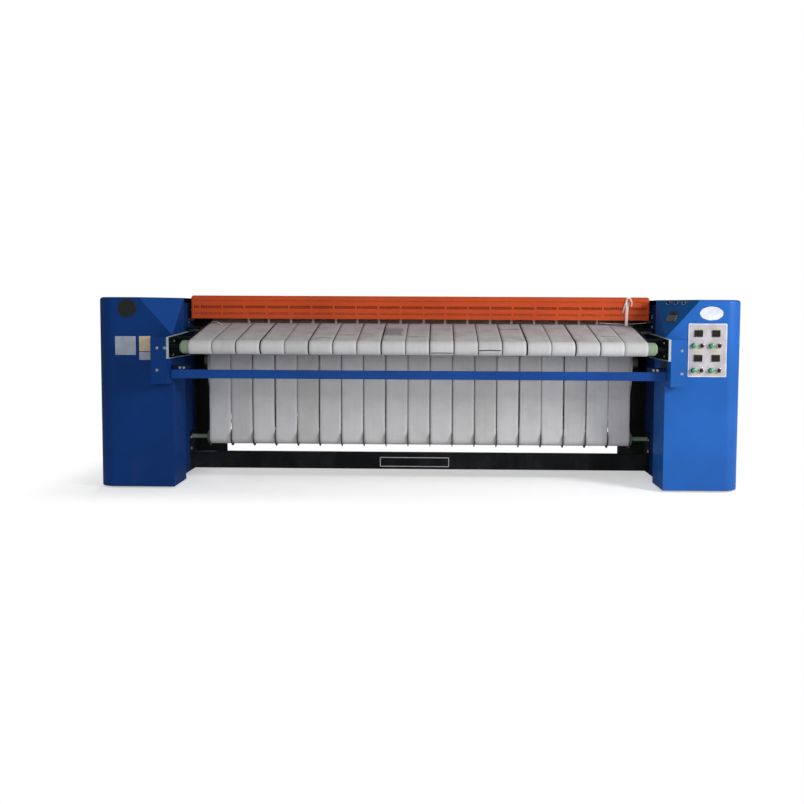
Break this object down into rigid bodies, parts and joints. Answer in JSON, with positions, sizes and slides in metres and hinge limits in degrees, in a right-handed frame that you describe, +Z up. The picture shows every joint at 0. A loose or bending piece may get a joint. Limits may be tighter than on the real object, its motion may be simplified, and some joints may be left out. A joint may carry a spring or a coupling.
{
  "type": "flatwork ironer",
  "caption": "Heated-drum flatwork ironer: belt-fed roll between two end cabinets, feed table, lift-up hood, press bar and control panel",
  "frame": {"origin": "bottom centre of the whole machine, on the floor", "axes": "+X along the drum to the operator's right, -Y towards the operator, +Z up"},
  "size_m": [4.28, 1.464, 1.293],
  "materials": {
    "blue_paint": "satin powder coat",
    "orange_paint": "satin powder coat",
    "black_paint": "satin paint",
    "green_paint": "satin paint",
    "bare_steel": "ground steel",
    "zinc_steel": "zinc plated",
    "drum_steel": "polished",
    "cast_iron": "painted casting",
    "chrome": "bright",
    "brass": "turned",
    "panel_aluminium": "brushed, anodised",
    "belt_fabric": "woven heat-resistant felt",
    "tape_fabric": "woven tape",
    "black_rubber": "moulded",
    "black_plastic": "moulded",
    "green_plastic": "moulded",
    "grey_plastic": "moulded"
  },
  "bodies": {
    "root": {"left_side_frame": "black_paint", "right_side_frame": "black_paint", "left_front_cover": "blue_paint", "right_front_cover": "blue_paint", "left_rear_cover": "blue_paint", "right_rear_cover": "blue_paint", "side_panels": "blue_paint", "base_trays": "black_paint", "levelling_feet": "black_rubber", "lower_front_beam": "black_paint", "lower_rear_beam": "black_paint", "upper_rear_tie": "black_paint", "feed_brackets": "blue_paint", "feed_side_plates": "black_paint", "feed_slide_plate": "zinc_steel", "delivery_slide": "zinc_steel", "ironing_belts": "belt_fabric", "roller_bearings": "cast_iron", "drum_bearings": "cast_iron", "gearmotor": "cast_iron", "drive_belts": "black_rubber", "brush_holder": "grey_plastic", "electrical_box": "grey_plastic", "guide_tape_bar": "zinc_steel", "guide_tapes": "tape_fabric", "hood_rests": "black_rubber", "bar_mounts": "blue_paint", "bar_studs": "chrome", "limit_switch": "black_plastic", "control_panel": "panel_aluminium", "temperature_displays": "black_plastic", "switch_bezels": "chrome", "drive_display": "black_plastic"},
    "drum": {"drum_shell": "drum_steel", "drum_ends": "bare_steel", "heater_rods": "bare_steel", "slip_rings": "brass", "drum_pulley": "cast_iron"},
    "feed_roll": {"front_feed_roller": "green_paint"},
    "nip_roll": {"nip_roller": "bare_steel"},
    "rear_roll": {"rear_top_roller": "bare_steel"},
    "lower_rear_roll": {"lower_rear_roller": "bare_steel"},
    "lower_front_roll": {"lower_front_roller": "green_paint"},
    "guide_roll": {"belt_guide_roller": "zinc_steel"},
    "motor_drive": {"motor_pulley": "cast_iron"},
    "hood": {"drum_hood": "orange_paint", "tie_tape": "tape_fabric"},
    "bar": {"safety_bar": "blue_paint"},
    "start_1_cap": {"start_button_1": "green_plastic"},
    "start_2_cap": {"start_button_2": "green_plastic"},
    "start_3_cap": {"start_button_3": "green_plastic"},
    "start_4_cap": {"start_button_4": "green_plastic"},
    "zone_1_knob": {"zone_switch_1": "black_plastic"},
    "zone_2_knob": {"zone_switch_2": "black_plastic"},
    "zone_3_knob": {"zone_switch_3": "black_plastic"},
    "zone_4_knob": {"zone_switch_4": "black_plastic"},
    "stop_cap": {"stop_button": "black_plastic"},
    "reverse_cap": {"reverse_button": "black_plastic"},
    "mode_knob": {"mode_switch": "black_plastic"}
  },
  "joints": [
    {"name": "drum_spin", "type": "hinge", "parent": "root", "child": "drum", "pos_m": [0, 0.16726, 0.813], "axis": [1, 0, 0], "continuous": true},
    {"name": "feed_roller_spin", "type": "hinge", "parent": "root", "child": "feed_roll", "pos_m": [0, -0.68574, 0.951], "axis": [1, 0, 0], "continuous": true},
    {"name": "nip_roller_spin", "type": "hinge", "parent": "root", "child": "nip_roll", "pos_m": [0, -0.22273, 1.05105], "axis": [1, 0, 0], "continuous": true},
    {"name": "rear_roller_spin", "type": "hinge", "parent": "root", "child": "rear_roll", "pos_m": [0, 0.55724, 1.05105], "axis": [1, 0, 0], "continuous": true},
    {"name": "lower_rear_spin", "type": "hinge", "parent": "root", "child": "lower_rear_roll", "pos_m": [0, 0.55724, 0.294], "axis": [1, 0, 0], "continuous": true},
    {"name": "lower_front_spin", "type": "hinge", "parent": "root", "child": "lower_front_roll", "pos_m": [0, -0.21624, 0.294], "axis": [1, 0, 0], "continuous": true},
    {"name": "guide_roller_spin", "type": "hinge", "parent": "root", "child": "guide_roll", "pos_m": [0, -0.29234, 0.905], "axis": [1, 0, 0], "continuous": true},
    {"name": "motor_spin", "type": "hinge", "parent": "root", "child": "motor_drive", "pos_m": [0, 0.16726, 0.29], "axis": [1, 0, 0], "continuous": true},
    {"name": "hood_lift", "type": "hinge", "parent": "root", "child": "hood", "pos_m": [0, 0.65404, 1.273], "axis": [-1, 0, 0], "range_deg": [0, 70]},
    {"name": "safety_bar_push", "type": "slide", "parent": "root", "child": "bar", "axis": [0, 1, 0], "range_m": [0, 0.012], "stiffness_N_per_m": 900, "springref_m": -0.01},
    {"name": "start_1_press", "type": "slide", "parent": "root", "child": "start_1_cap", "axis": [0, 1, 0], "range_m": [0, 0.004], "stiffness_N_per_m": 300, "springref_m": -0.002},
    {"name": "start_2_press", "type": "slide", "parent": "root", "child": "start_2_cap", "axis": [0, 1, 0], "range_m": [0, 0.004], "stiffness_N_per_m": 300, "springref_m": -0.002},
    {"name": "start_3_press", "type": "slide", "parent": "root", "child": "start_3_cap", "axis": [0, 1, 0], "range_m": [0, 0.004], "stiffness_N_per_m": 300, "springref_m": -0.002},
    {"name": "start_4_press", "type": "slide", "parent": "root", "child": "start_4_cap", "axis": [0, 1, 0], "range_m": [0, 0.004], "stiffness_N_per_m": 300, "springref_m": -0.002},
    {"name": "zone_1_turn", "type": "hinge", "parent": "root", "child": "zone_1_knob", "pos_m": [1.855, -0.60074, 0.973], "axis": [0, -1, 0], "range_deg": [-45, 45]},
    {"name": "zone_2_turn", "type": "hinge", "parent": "root", "child": "zone_2_knob", "pos_m": [1.969, -0.60074, 0.973], "axis": [0, -1, 0], "range_deg": [-45, 45]},
    {"name": "zone_3_turn", "type": "hinge", "parent": "root", "child": "zone_3_knob", "pos_m": [1.855, -0.60074, 0.811], "axis": [0, -1, 0], "range_deg": [-45, 45]},
    {"name": "zone_4_turn", "type": "hinge", "parent": "root", "child": "zone_4_knob", "pos_m": [1.969, -0.60074, 0.811], "axis": [0, -1, 0], "range_deg": [-45, 45]},
    {"name": "stop_press", "type": "slide", "parent": "root", "child": "stop_cap", "axis": [0.6142, 0.5659, -0.55], "range_m": [0, 0.004], "stiffness_N_per_m": 300, "springref_m": -0.002},
    {"name": "reverse_press", "type": "slide", "parent": "root", "child": "reverse_cap", "axis": [0.6142, 0.5659, -0.55], "range_m": [0, 0.004], "stiffness_N_per_m": 300, "springref_m": -0.002},
    {"name": "mode_turn", "type": "hinge", "parent": "root", "child": "mode_knob", "pos_m": [1.75999, -0.52984, 1.24795], "axis": [-0.6142, -0.5659, 0.55], "range_deg": [-45, 45]}
  ],
  "couplings": [
    {"joint": "feed_roller_spin", "follows": "drum_spin", "ratio": -8.9688},
    {"joint": "nip_roller_spin", "follows": "drum_spin", "ratio": -8.1501},
    {"joint": "rear_roller_spin", "follows": "drum_spin", "ratio": -8.1501},
    {"joint": "lower_rear_spin", "follows": "drum_spin", "ratio": -8.1501},
    {"joint": "lower_front_spin", "follows": "drum_spin", "ratio": -8.1501},
    {"joint": "guide_roller_spin", "follows": "drum_spin", "ratio": 14.992},
    {"joint": "motor_spin", "follows": "drum_spin", "ratio": 3.125}
  ]
}
